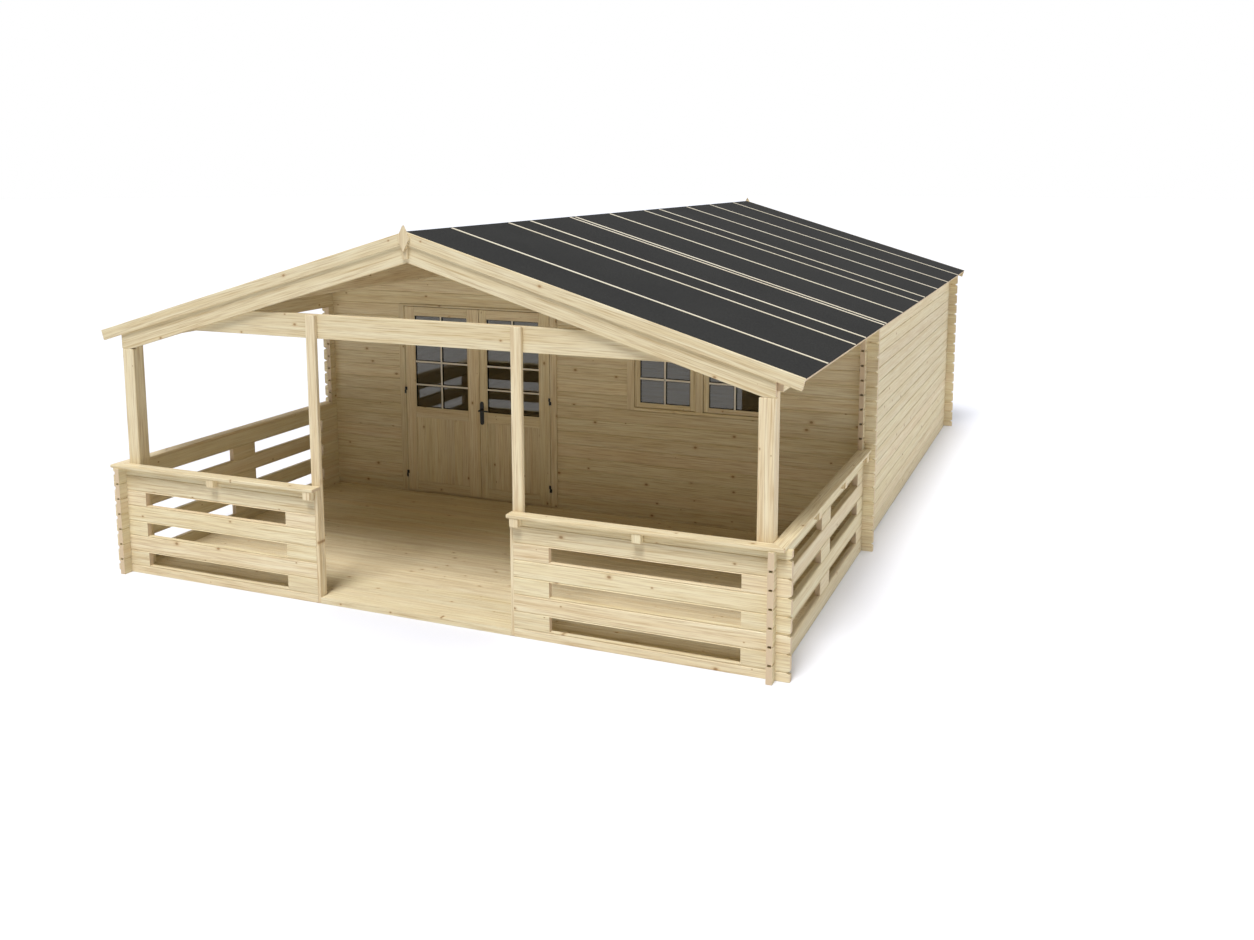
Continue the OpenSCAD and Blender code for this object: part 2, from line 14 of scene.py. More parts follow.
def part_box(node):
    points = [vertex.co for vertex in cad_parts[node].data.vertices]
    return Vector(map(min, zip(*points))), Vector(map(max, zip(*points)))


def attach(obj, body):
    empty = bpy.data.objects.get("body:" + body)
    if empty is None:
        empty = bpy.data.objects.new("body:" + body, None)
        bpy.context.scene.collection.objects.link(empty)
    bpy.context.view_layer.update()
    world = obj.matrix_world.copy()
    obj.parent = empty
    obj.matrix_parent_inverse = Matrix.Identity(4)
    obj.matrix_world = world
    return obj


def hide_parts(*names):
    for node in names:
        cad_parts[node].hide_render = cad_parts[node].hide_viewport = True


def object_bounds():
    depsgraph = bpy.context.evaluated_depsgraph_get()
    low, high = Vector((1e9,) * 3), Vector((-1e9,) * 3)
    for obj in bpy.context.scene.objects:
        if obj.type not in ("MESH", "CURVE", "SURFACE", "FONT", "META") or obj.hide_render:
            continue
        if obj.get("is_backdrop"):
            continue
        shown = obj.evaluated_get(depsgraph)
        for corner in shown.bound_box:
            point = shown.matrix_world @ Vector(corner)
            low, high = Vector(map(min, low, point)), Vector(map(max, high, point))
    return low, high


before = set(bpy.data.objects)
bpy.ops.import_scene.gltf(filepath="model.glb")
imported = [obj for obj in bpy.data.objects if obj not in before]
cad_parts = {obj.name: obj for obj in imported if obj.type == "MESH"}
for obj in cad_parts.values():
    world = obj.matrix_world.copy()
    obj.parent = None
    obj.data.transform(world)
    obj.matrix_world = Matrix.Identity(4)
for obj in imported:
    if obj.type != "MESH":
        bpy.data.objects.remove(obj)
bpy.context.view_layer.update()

# %% [markdown]
# ## Small tools for materials
# Colours are read off as sRGB hex, but shaders work in linear light, so one function converts them.
# A node tree is a lot of small steps, so one function adds a node, sets it and wires it in a single line.

# %% Colour and node tools
def linear(code):
    """An sRGB hex colour as linear red, green and blue, with a full alpha."""
    parts = [int(code[i:i + 2], 16) / 255 for i in (1, 3, 5)]
    return [c / 12.92 if c <= 0.04045 else ((c + 0.055) / 1.055) ** 2.4 for c in parts] + [1.0]


def add(tree, kind, inputs=None, **settings):
    """One shader node, with its settings, and its sockets given by value or by another node's output."""
    node = tree.nodes.new("ShaderNode" + kind)
    for name, value in settings.items():
        setattr(node, name, value)
    for name, value in (inputs or {}).items():
        if isinstance(value, bpy.types.NodeSocket):
            tree.links.new(value, node.inputs[name])
        else:
            node.inputs[name].default_value = value
    return node


def blank(name):
    """A new material, its tree and its main shader, already wired to the output."""
    material = bpy.data.materials.new(name)
    material.use_nodes = True
    tree = material.node_tree
    return material, tree, tree.nodes["Principled BSDF"]


print("linear mid grey", [round(c, 3) for c in linear("#808080")])

# %% [markdown]
# ## Planed spruce
# The whole house is untreated spruce, planed and not yet weathered: cream to straw yellow, with soft streaks
# along the grain, a few small brown knots, and darker, pinker end grain where a log is sawn across.
# A photograph could be wrapped round the logs, but it would repeat on every course. Here the grain is worked
# out in place: the coordinates are sorted into along and across the grain, each board gets its own number,
# and that number shifts the pattern and the tone, so no two logs look the same.

# %% Sizes and colours of the wood's figure
MM = 0.001
LOG_H, LOG_T = 121 * MM, 40 * MM           # height and thickness of a log
PITCH = math.radians(16.4)                 # of the roof
STREAK_W, STREAK_L = 8 * MM, 300 * MM      # one dark line of latewood, drawn twice as wide as real to show
BAND_W, BAND_L = 30 * MM, 1300 * MM        # the slow change of tone across a board
KNOT_EVERY, KNOT_ROW = 430 * MM, LOG_H     # one place for a knot in this much board
KNOT_R, NO_KNOT_R = 11 * MM, 0.05 * MM     # the largest knot, and one too small to see
KNOT_WIDE = 0.7                            # its width as a share of its length along the grain
BOARD_SHIFT = 23.0                         # metres that a board's number slides its figure along
PALE, STRAW, LATEWOOD = "#EDE1C3", "#E2CFA9", "#B8976A"
KNOT_CORE, KNOT_HALO, END_GRAIN = "#937049", "#C9AC80", "#D6C0A2"
print("a streak is", round(STREAK_W / MM), "mm wide and a log", round(LOG_H / MM), "mm high")


# %% Places along and across the grain
def level_slope(tree, spot):
    """Folds both roof slopes onto one and turns it level, so that x runs down the slope."""
    folded = add(tree, "VectorMath", {0: spot}, operation="ABSOLUTE")
    folded_axes = add(tree, "SeparateXYZ", {"Vector": folded.outputs[0]}).outputs
    axes = add(tree, "SeparateXYZ", {"Vector": spot}).outputs
    upright = add(tree, "CombineXYZ", {"X": folded_axes["X"], "Y": axes["Y"], "Z": axes["Z"]})
    level = add(tree, "VectorRotate", {"Vector": upright.outputs[0], "Angle": -PITCH}, rotation_type="Y_AXIS")
    return level.outputs[0]


def along_grain(tree, spot, grain, boards):
    """The place along, across and into the grain, slid along by the luck of its board, and that luck."""
    axes = add(tree, "SeparateXYZ", {"Vector": spot}).outputs
    along, across = axes[grain[0].upper()], axes[grain[1].upper()]
    deep = axes[({"x", "y", "z"} - set(grain)).pop().upper()]
    number = add(tree, "Attribute", attribute_name="board").outputs["Fac"]
    if boards:
        axis, width, first = boards
        counted = add(tree, "Math", {0: axes[axis.upper()], 1: first}, operation="SUBTRACT")
        counted = add(tree, "Math", {0: counted.outputs[0], 1: width}, operation="DIVIDE")
        counted = add(tree, "Math", {0: counted.outputs[0]}, operation="FLOOR")
        number = add(tree, "Math", {0: counted.outputs[0], 1: number}, operation="ADD").outputs[0]
    luck = add(tree, "TexWhiteNoise", {"W": number}, noise_dimensions="1D")
    slid = add(tree, "Math", {0: luck.outputs["Value"], 1: BOARD_SHIFT, 2: along}, operation="MULTIPLY_ADD")
    wood = add(tree, "CombineXYZ", {"X": slid.outputs[0], "Y": across, "Z": deep})
    return wood.outputs[0], luck.outputs["Color"]


# %% Streaks and bands
def streaked(tree, wood, streaky):
    """The colour of pale and straw bands with dark lines of latewood, and the strength of those lines."""
    fine = (1 / STREAK_L, 1 / STREAK_W, 1 / STREAK_W)
    streak_at = add(tree, "VectorMath", {0: wood, 1: fine}, operation="MULTIPLY").outputs[0]
    streak = add(tree, "TexNoise", {"Vector": streak_at, "Scale": 1.0, "Detail": 3.0, "Roughness": 0.6})
    slow = (1 / BAND_L, 1 / BAND_W, 1 / BAND_W)
    band_at = add(tree, "VectorMath", {0: wood, 1: slow}, operation="MULTIPLY").outputs[0]
    band = add(tree, "TexNoise", {"Vector": band_at, "Scale": 1.0, "Detail": 2.0, "Distortion": 0.4})
    tone = add(tree, "MapRange", {"Value": band.outputs["Fac"], "From Min": 0.3, "From Max": 0.7})
    ground = add(tree, "MixRGB", {"Fac": tone.outputs[0], "Color1": linear(PALE), "Color2": linear(STRAW)})
    late = add(tree, "MapRange", {"Value": streak.outputs["Fac"], "From Min": 0.45, "From Max": 0.70,
                                  "To Max": streaky})
    lined = add(tree, "MixRGB", {"Fac": late.outputs[0], "Color1": ground.outputs[0],
                                 "Color2": linear(LATEWOOD)})
    return lined.outputs[0], streak.outputs["Fac"]


# %% Knots
def with_knots(tree, wood, colour, knotty):
    """The colour with small brown knots, a paler ring round each, in some of the places for one."""
    cells = add(tree, "VectorMath", {0: wood, 1: (1 / KNOT_EVERY, 1 / KNOT_ROW, 0)}, operation="MULTIPLY")
    knots = add(tree, "TexVoronoi", {"Vector": cells.outputs[0], "Scale": 1.0}, voronoi_dimensions="2D")
    gap = add(tree, "VectorMath", {0: cells.outputs[0], 1: knots.outputs["Position"]}, operation="SUBTRACT")
    oval = (KNOT_EVERY * KNOT_WIDE, KNOT_ROW, 0)
    gap = add(tree, "VectorMath", {0: gap.outputs[0], 1: oval}, operation="MULTIPLY")
    away = add(tree, "VectorMath", {0: gap.outputs[0]}, operation="LENGTH")
    chance = add(tree, "SeparateColor", {"Color": knots.outputs["Color"]}).outputs
    size = add(tree, "MapRange", {"Value": chance["Red"], "From Min": 1 - knotty, "To Min": NO_KNOT_R,
                                  "To Max": KNOT_R})
    ratio = add(tree, "Math", {0: away.outputs["Value"], 1: size.outputs[0]}, operation="DIVIDE").outputs[0]
    halo = add(tree, "MapRange", {"Value": ratio, "From Min": 2.6, "From Max": 0.9, "To Max": 0.6})
    core = add(tree, "MapRange", {"Value": ratio, "From Min": 1.25, "From Max": 0.5, "To Max": 0.8})
    ringed = add(tree, "MixRGB", {"Fac": halo.outputs[0], "Color1": colour, "Color2": linear(KNOT_HALO)})
    knotted = add(tree, "MixRGB", {"Fac": core.outputs[0], "Color1": ringed.outputs[0],
                                   "Color2": linear(KNOT_CORE)})
    return knotted.outputs[0]


# %% The spruce material
def spruce(name, grain, boards=None, knotty=0.6, uneven=0.06, streaky=0.66, lift=1.0, rich=1.0):
    """Planed spruce. grain names the axes along and across it; boards are (axis, width, first joint).
    knotty is the share of places that hold a knot, uneven the spread of tone from board to board, streaky how
    dark the latewood is, lift and rich the lightness and strength of the colour."""
    material, tree, shader = blank(name)
    place = add(tree, "TexCoord").outputs
    spot = place["Object"]
    if grain == "slope":
        spot = level_slope(tree, spot)
        grain = "xz"
    wood, luck = along_grain(tree, spot, grain, boards)
    lined, streak = streaked(tree, wood, streaky)
    parts = add(tree, "SeparateColor", {"Color": luck}).outputs
    hue = add(tree, "MapRange", {"Value": parts["Red"], "To Min": 0.499, "To Max": 0.509})
    value = add(tree, "MapRange", {"Value": parts["Green"], "To Min": lift - uneven, "To Max": lift + uneven})
    toned = add(tree, "HueSaturation", {"Hue": hue.outputs[0], "Saturation": rich, "Value": value.outputs[0],
                                        "Color": lined})
    knots = with_knots(tree, wood, toned.outputs[0], knotty)
    sides = add(tree, "SeparateXYZ", {"Vector": place["Normal"]}).outputs
    square = add(tree, "Math", {0: sides[grain[0].upper()]}, operation="ABSOLUTE")
    sawn = add(tree, "MapRange", {"Value": square.outputs[0], "From Min": 0.75, "From Max": 0.85})
    colour = add(tree, "MixRGB", {"Fac": sawn.outputs[0], "Color1": knots, "Color2": linear(END_GRAIN)})
    rough = add(tree, "MapRange", {"Value": streak, "To Min": 0.55, "To Max": 0.72})
    relief = add(tree, "Bump", {"Height": streak, "Strength": 0.25, "Distance": 0.4 * MM})
    tree.links.new(colour.outputs[0], shader.inputs["Base Color"])
    tree.links.new(rough.outputs[0], shader.inputs["Roughness"])
    tree.links.new(relief.outputs[0], shader.inputs["Normal"])
    shader.inputs["Specular IOR Level"].default_value = 0.3
    return material


# %% Spruce with its grain each way
LOGS_ACROSS = spruce("spruce_logs_across", "xz", ("z", LOG_H, LOG_H / 2))
LOGS_DEEP = spruce("spruce_logs_deep", "yz", ("z", LOG_H, 0.0), knotty=0.25, uneven=0.035, streaky=0.34,
                   lift=0.95)
UPRIGHT = spruce("spruce_upright", "zx", ("x", 500 * MM, 250 * MM))
BEAM_ACROSS = spruce("spruce_beam_across", "xz")
BEAM_DEEP = spruce("spruce_beam_deep", "yz", ("x", 700 * MM, 350 * MM))
PLANK_ACROSS = spruce("spruce_plank_across", "xy")
PLANK_DEEP = spruce("spruce_plank_deep", "yx", ("x", 2000 * MM, 1000 * MM))
SLOPED = spruce("spruce_sloped", "slope")
FLOORING = spruce("spruce_flooring", "xy", lift=0.92)
LATH = spruce("spruce_lath", "slope", knotty=0.1, streaky=0.3, lift=1.0, rich=0.65)
# The bars' spruce is paler and weaker in colour than the rest: painted light, so that the slim bars read
# light in the veranda's shade.
BARS_UP_PAINTED_LIGHT = spruce("spruce_bars_up_painted_light", "zx", knotty=0.1, streaky=0.3, lift=1.1, rich=0.4)
BARS_ACROSS_PAINTED_LIGHT = spruce("spruce_bars_across_painted_light", "xz", knotty=0.1, streaky=0.3, lift=1.1, rich=0.4)
print("made", len([m for m in bpy.data.materials if m.name.startswith("spruce")]), "kinds of spruce")

# %% [markdown]
# ## Roofing felt
# The roof is covered with bitumen felt with a fine mineral face, so it is charcoal, quite matt and very
# slightly speckled. The grit is about a millimetre across, too fine for these pictures, so it is drawn
# coarser. A slow change of tone lies over it, because no roll is quite even.

# %% The felt material
GRIT = 12 * MM           # drawn about ten times as coarse as real, or it would not show
CLOUD = 600 * MM         # patches in which the tone changes slowly
CLOUDY = 0.3             # how much of the tone those patches take


def mineral_felt():
    """Bitumen felt with a mineral face: charcoal, matt and speckled."""
    material, tree, shader = blank("bitumen_felt")
    spot = add(tree, "TexCoord").outputs["Object"]
    grit = add(tree, "TexNoise", {"Vector": spot, "Scale": 1 / GRIT, "Detail": 2.0}).outputs["Fac"]
    cloud = add(tree, "TexNoise", {"Vector": spot, "Scale": 1 / CLOUD, "Detail": 3.0}).outputs["Fac"]
    both = add(tree, "Math", {0: cloud, 1: CLOUDY, 2: grit}, operation="MULTIPLY_ADD")
    fleck = add(tree, "MapRange", {"Value": both.outputs[0], "From Min": 0.4, "From Max": 0.9})
    colour = add(tree, "MixRGB", {"Fac": fleck.outputs[0], "Color1": linear("#292929"),
                                  "Color2": linear("#373736")})
    relief = add(tree, "Bump", {"Height": grit, "Strength": 0.35, "Distance": 1.0 * MM})
    tree.links.new(colour.outputs[0], shader.inputs["Base Color"])
    tree.links.new(relief.outputs[0], shader.inputs["Normal"])
    shader.inputs["Roughness"].default_value = 0.95
    shader.inputs["Specular IOR Level"].default_value = 0.05
    return material


FELT = mineral_felt()
print("made", FELT.name)

# %% [markdown]
# ## Float glass
# The panes look into an unlit room, so mostly they mirror the veranda: grey where they catch the sky and dark
# where they catch the railing. A sealed double pane has four faces that mirror, and the single slab here has
# two, so its index of refraction is raised until two faces mirror as much as the real four. The coating in
# such a pane mirrors a little warm, and float glass is very slightly wavy.

# %% The glass material
WAVE = 350 * MM   # from one soft wave of the glass to the next


def float_glass():
    """Clear float glass, with an index raised to mirror as much as a sealed double pane."""
    material, tree, shader = blank("float_glass")
    spot = add(tree, "TexCoord").outputs["Object"]
    wave = add(tree, "TexNoise", {"Vector": spot, "Scale": 1 / WAVE, "Detail": 1.0})
    relief = add(tree, "Bump", {"Height": wave.outputs["Fac"], "Strength": 0.004, "Distance": 2.0 * MM})
    tree.links.new(relief.outputs[0], shader.inputs["Normal"])
    shader.inputs["Base Color"].default_value = linear("#B4B6BA")
    shader.inputs["Roughness"].default_value = 0.01
    shader.inputs["IOR"].default_value = 1.75
    shader.inputs["Specular Tint"].default_value = linear("#FDF6E5")
    shader.inputs["Transmission Weight"].default_value = 1.0
    return material


GLASS = float_glass()
print("made", GLASS.name)

# %% [markdown]
# ## Black iron, and black tape that paints shade
# The hinges and the handle are powder-coated iron: dark, satin, with a faint orange-peel to the surface.
# The panes are bedded on glazing tape, a soft butyl strip: dull and nearly black, and drawn wide enough to
# paint the shade of the recess beside each bar and bead.

# %% The iron and the painted-shade tape materials
PEEL = 2 * MM            # from one dimple of the coating to the next
SHADE_TAPE_CLOUD = 20 * MM     # patches in which the tape's tone changes


def black_iron():
    """Powder-coated iron: satin black with a faint orange-peel."""
    material, tree, shader = blank("powder_coated_iron")
    spot = add(tree, "TexCoord").outputs["Object"]
    peel = add(tree, "TexNoise", {"Vector": spot, "Scale": 1 / PEEL, "Detail": 1.0}).outputs["Fac"]
    tint = add(tree, "MixRGB", {"Fac": peel, "Color1": linear("#0D0D0E"), "Color2": linear("#1B1A19")})
    relief = add(tree, "Bump", {"Height": peel, "Strength": 0.2, "Distance": 0.2 * MM})
    tree.links.new(tint.outputs[0], shader.inputs["Base Color"])
    tree.links.new(relief.outputs[0], shader.inputs["Normal"])
    shader.inputs["Roughness"].default_value = 0.42
    return material


def painted_shade_tape():
    """Butyl tape: dull black, very slightly uneven; it paints the shade beside bars and beads."""
    material, tree, shader = blank("painted_shade_tape")
    spot = add(tree, "TexCoord").outputs["Object"]
    cloud = add(tree, "TexNoise", {"Vector": spot, "Scale": 1 / SHADE_TAPE_CLOUD, "Detail": 1.0}).outputs["Fac"]
    tint = add(tree, "MixRGB", {"Fac": cloud, "Color1": linear("#100F0E"), "Color2": linear("#1A1816")})
    tree.links.new(tint.outputs[0], shader.inputs["Base Color"])
    shader.inputs["Roughness"].default_value = 0.9
    shader.inputs["Specular IOR Level"].default_value = 0.1
    return material


IRON = black_iron()
SHADE_TAPE = painted_shade_tape()
print("made", IRON.name, SHADE_TAPE.name)

# %% [markdown]
# ## Finishes on the solids that stay
# Walls, railings, posts and beams are already the right shape, so each only needs the wood with its grain
# the right way. Sawn timber is eased with a plane along its edges, and that thin facet catches the light.
# Cutting it into the solids is not needed: a weld joins the split corners of the imported mesh, and a bevel
# then eases the edges.

# %% Wood, felt, glass and iron on the CAD nodes
FINISH = {
    LOGS_ACROSS: ["back_wall", "front_wall_left", "front_wall_right", "front_gable", "front_left_railing",
                  "front_right_railing", "door_sill"],
    LOGS_DEEP: ["left_wall", "right_wall", "left_railing", "right_railing"],
    UPRIGHT: ["veranda_posts", "door_jambs", "rail_ends", "finials", "rail_brackets"],
    BEAM_ACROSS: ["tie_beam", "door_head", "floor_bearers"],
    BEAM_DEEP: ["eave_beams", "ridge_purlin", "mid_purlins"],
    PLANK_ACROSS: ["front_caps"],
    PLANK_DEEP: ["side_caps"],
    SLOPED: ["left_rafter", "right_rafter", "left_barges", "right_barges"],
    FELT: ["roof_felt"],
    GLASS: ["left_door_glass", "right_door_glass", "window_glass"],
    IRON: ["frame_hinges", "left_hinges", "right_hinges", "handle_plate", "handle_lever"],
}
for material, names in FINISH.items():
    for name in names:
        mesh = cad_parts[name].data
        mesh.materials.clear()
        mesh.materials.append(material)
print("finished", sum(len(names) for names in FINISH.values()), "solids")

# %% Eased edges, in millimetres
EASED = {
    "veranda_posts": 5, "tie_beam": 5, "left_rafter": 4, "right_rafter": 4, "left_barges": 3,
    "right_barges": 3, "front_caps": 4, "side_caps": 4, "rail_ends": 3, "rail_brackets": 3, "finials": 2,
    "eave_beams": 3, "mid_purlins": 4, "ridge_purlin": 4, "door_jambs": 2, "door_head": 2,
    "handle_plate": 1.2,
}
WELD_WITHIN, SHARP = 0.02 * MM, math.radians(40)
for name, width in EASED.items():
    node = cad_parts[name]
    weld = node.modifiers.new("weld", "WELD")
    weld.merge_threshold = WELD_WITHIN
    ease = node.modifiers.new("ease", "BEVEL")
    ease.width = width * MM
    ease.segments = 1
    ease.limit_method = "ANGLE"
    ease.angle_limit = SHARP
print("eased", len(EASED), "solids")

# %% [markdown]
# ## Building boards
# Floors, roof boards, door panels, glazing bars and beads are all boards with eased edges. A cube with a
# bevel modifier would do for one, but there are hundreds, so a small function writes the eased box straight
# into a mesh: each corner becomes three points, one on each face. It also writes the board's number, which
# the wood reads.

# %% A board
CORNERS = [(i, j, k) for i in (0, 1) for j in (0, 1) for k in (0, 1)]
ROUND = ((0, 0), (1, 0), (1, 1), (0, 1))   # the four corners of a face, in order


def eased_board(mesh, low, high, ease, number=0.0, slot=0, place=None):
    """Adds a box from low to high with its edges cut off at 45 degrees."""
    low, high = Vector(low), Vector(high)
    tag = mesh.verts.layers.float.get("board") or mesh.verts.layers.float.new("board")
    corner = {}
    for at in CORNERS:
        for flat in range(3):
            spot = [(low, high)[at[a]][a] + (0 if a == flat else ease * (1 - 2 * at[a])) for a in range(3)]
            point = mesh.verts.new(place @ Vector(spot) if place else spot)
            point[tag] = number
            corner[at, flat] = point
    faces = [[corner[at, flat] for flat in range(3)] for at in CORNERS]
    for axis in range(3):
        one, two = (axis + 1) % 3, (axis + 2) % 3
        ends = []
        for side in (0, 1):
            around = []
            for a, b in ROUND:
                at = [side, side, side]
                at[one], at[two] = a, b
                around.append(tuple(at))
            faces.append([corner[at, axis] for at in around])
            ends.append(around)
        for near, far in zip(*ends):
            faces.append([corner[near, one], corner[near, two], corner[far, two], corner[far, one]])
    for ring in faces:
        mesh.faces.new(ring).material_index = slot


print("a board has", 3 * len(CORNERS), "points")


# %% A piece made of boards
def piece(name, mesh, materials, body="house", stands_for=()):
    """Turns a bmesh into an object that rides on a body, with its materials and the nodes it stands for."""
    bmesh.ops.recalc_face_normals(mesh, faces=mesh.faces[:])
    data = bpy.data.meshes.new(name)
    mesh.to_mesh(data)
    mesh.free()
    thing = bpy.data.objects.new(name, data)
    bpy.context.scene.collection.objects.link(thing)
    for material in materials:
        data.materials.append(material)
    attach(thing, body)
    if stands_for:
        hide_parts(*stands_for)
    print(name, len(data.polygons), "faces")


# %% [markdown]
# ## Floors
# The floors are boards about 90 mm wide that run across the house, tongued together with a small V at each
# joint. The solid floor is one slab, so the boards stand for it and fill the same space.

# %% Floor boards
FLOOR_BOARD, V_JOINT, BUTT = 90 * MM, 2.0 * MM, 0.4 * MM
for node in ("veranda_floor", "cabin_floor"):
    low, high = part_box(node)
    count = round((high.y - low.y) / FLOOR_BOARD)
    width = (high.y - low.y) / count
    first_number = 0.37 * low.y   # so that the two floors don't share their figure
    boards = bmesh.new()
    for i in range(count):
        y = low.y + i * width
        eased_board(boards, (low.x, y, low.z), (high.x, y + width - BUTT, high.z), V_JOINT,
                    number=i + first_number)
    piece(node + "_boards", boards, [FLOORING], stands_for=[node])

# %% [markdown]
# ## Roof boards
# From under the veranda the roof shows its boards, which run down the slope from the ridge to the eave. A
# matrix tips each board: its first axis runs down the slope and its third stands square to it. The left slope
# is a mirror.

# %% The two slopes
ridge_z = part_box("ridge_purlin")[1].z
down = Vector((math.cos(PITCH), 0, -math.sin(PITCH)))
out = Vector((math.sin(PITCH), 0, math.cos(PITCH)))


def tipped(hand):
    """The matrix of a slope, from the ridge: hand is 1 for the right one and -1 for the left one."""
    return Matrix(((hand * down.x, 0, hand * out.x, 0),
                   (0, 1, 0, 0),
                   (down.z, 0, out.z, ridge_z),
                   (0, 0, 0, 1)))


print("ridge at", round(ridge_z, 3), "m")

# %% Boards of both slopes
ROOF_BOARD, ROOF_BOARD_T, ROOF_V, CLEAR = 96 * MM, 18 * MM, 3 * MM, 0.2 * MM
for node, hand in (("right_roof", 1), ("left_roof", -1)):
    low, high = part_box(node)
    length = (max(abs(low.x), abs(high.x)) - ROOF_BOARD_T * out.x) / down.x
    count = round((high.y - low.y) / ROOF_BOARD)
    width = (high.y - low.y) / count
    boards = bmesh.new()
    for i in range(count):
        y = low.y + i * width
        eased_board(boards, (0, y, CLEAR), (length, y + width - BUTT, ROOF_BOARD_T), ROOF_V,
                    number=i + 0.5 * hand, place=tipped(hand))
    piece(node + "_boards", boards, [SLOPED], stands_for=[node])

# %% [markdown]
# ## Felt laths
# Thin laths hold the felt down. They run down the slope like the boards, so the same matrix tips them. Where
# the felt of both slopes meets is the highest point of the roof, and from its height comes how far the felt's
# face lies off the underside of the boards.

# %% Laths on both slopes
LATH_W, LATH_T, LATH_EASE, RIDGE_GAP = 26 * MM, 4.5 * MM, 1 * MM, 14 * MM
LATH_AT = [at * MM for at in (560, 1430, 1805, 2566, 2668, 3450, 4340, 4760, 5620, 6440, 7360)]
low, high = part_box("roof_battens")
front_edge = low.y - LATH_AT[0]
felt_face = (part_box("roof_felt")[1].z - ridge_z) * math.cos(PITCH) + CLEAR
length = (high.x - (felt_face + LATH_T) * out.x) / down.x
laths = bmesh.new()
for hand in (1, -1):
    for i, at in enumerate(LATH_AT):
        y = front_edge + at
        eased_board(laths, (RIDGE_GAP, y, felt_face), (length, y + LATH_W, felt_face + LATH_T), LATH_EASE,
                    number=i + 0.5 * hand, place=tipped(hand))
piece("felt_laths", laths, [LATH], stands_for=["roof_battens"])

# %% [markdown]
# ## Door leaves
# Each leaf is joinery: two upright stiles with three rails between them, vertical boards in the lower half
# and a glazed upper half. A thin bead holds the glass and slim bars divide it into two columns of four. One
# solid would have its grain all one way, so the leaf is built from its real parts, upright ones and level
# ones. Black tape behind the bars and beads paints the shade of the recess as a thin dark line beside each.

# %% Joinery sizes
TOP_RAIL, MID_RAIL, BOTTOM_RAIL, PANEL_H = 82 * MM, 97 * MM, 92 * MM, 631 * MM
PANEL_T, PANEL_BOARDS, PANEL_V = 22 * MM, 7, 1.5 * MM
BEAD, BEAD_IN, BAR_W, BAR_T = 5 * MM, 3 * MM, 17 * MM, 8 * MM   # a bead lies BEAD_IN inside the leaf's face
SHADE_TAPE_T, SHADE_TAPE_OUT, SHADE_TAPE_EASE = 6 * MM, 5 * MM, 0.5 * MM          # the black tape shows this far past a bar, as painted shade
EASE = 2.5 * MM
JOINERY = [UPRIGHT, BEAM_ACROSS, BARS_UP_PAINTED_LIGHT, BARS_ACROSS_PAINTED_LIGHT]
LEVEL, BAR_UP, BAR_LEVEL = 1, 2, 3                              # places in that list, after the uprights
print("a bar is", round(BAR_W / MM), "by", round(BAR_T / MM), "mm")


# %% Beads, bars and the black tape that paints shade
def glazing(mesh, shade_strips, low, high, glass, columns, rows):
    """Beads round an opening and bars across it, before and behind the glass (its two y values), on black
    tape that paints the shade beside them.
    """
    front, back = glass[0] - SHADE_TAPE_T, glass[1] + SHADE_TAPE_T
    columns_at = [low.x + (high.x - low.x) * i / columns for i in range(1, columns)]
    rows_at = [low.z + (high.z - low.z) * j / rows for j in range(1, rows)]
    for y0, y1 in ((low.y + BEAD_IN, front), (back, high.y - BEAD_IN)):
        for x in (low.x, high.x - BEAD):
            eased_board(mesh, (x, y0, low.z), (x + BEAD, y1, high.z), EASE / 2, number=x + y0)
        for z in (low.z, high.z - BEAD):
            eased_board(mesh, (low.x + BEAD, y0, z), (high.x - BEAD, y1, z + BEAD), EASE / 2,
                        number=z + y0, slot=LEVEL)
    for y0, y1 in ((front - BAR_T, front), (back, back + BAR_T)):
        for x in columns_at:
            eased_board(mesh, (x - BAR_W / 2, y0, low.z + BEAD), (x + BAR_W / 2, y1, high.z - BEAD), EASE,
                        number=x, slot=BAR_UP)
        for z in rows_at:
            eased_board(mesh, (low.x + BEAD, y0, z - BAR_W / 2), (high.x - BEAD, y1, z + BAR_W / 2), EASE,
                        number=z, slot=BAR_LEVEL)
    # The black tape reaches past the beads and bars to paint the shade of the recess as a dark line.
    edge, half = BEAD + SHADE_TAPE_OUT, BAR_W / 2 + SHADE_TAPE_OUT
    upright = [(low.x, low.x + edge), (high.x - edge, high.x)] + [(x - half, x + half) for x in columns_at]
    level = [(low.z, low.z + edge), (high.z - edge, high.z)] + [(z - half, z + half) for z in rows_at]
    for y0, y1 in ((front, glass[0]), (glass[1], back)):
        for x0, x1 in upright:
            eased_board(shade_strips, (x0, y0, low.z), (x1, y1, high.z), SHADE_TAPE_EASE)
        for z0, z1 in level:
            eased_board(shade_strips, (low.x, y0, z0), (high.x, y1, z1), SHADE_TAPE_EASE)


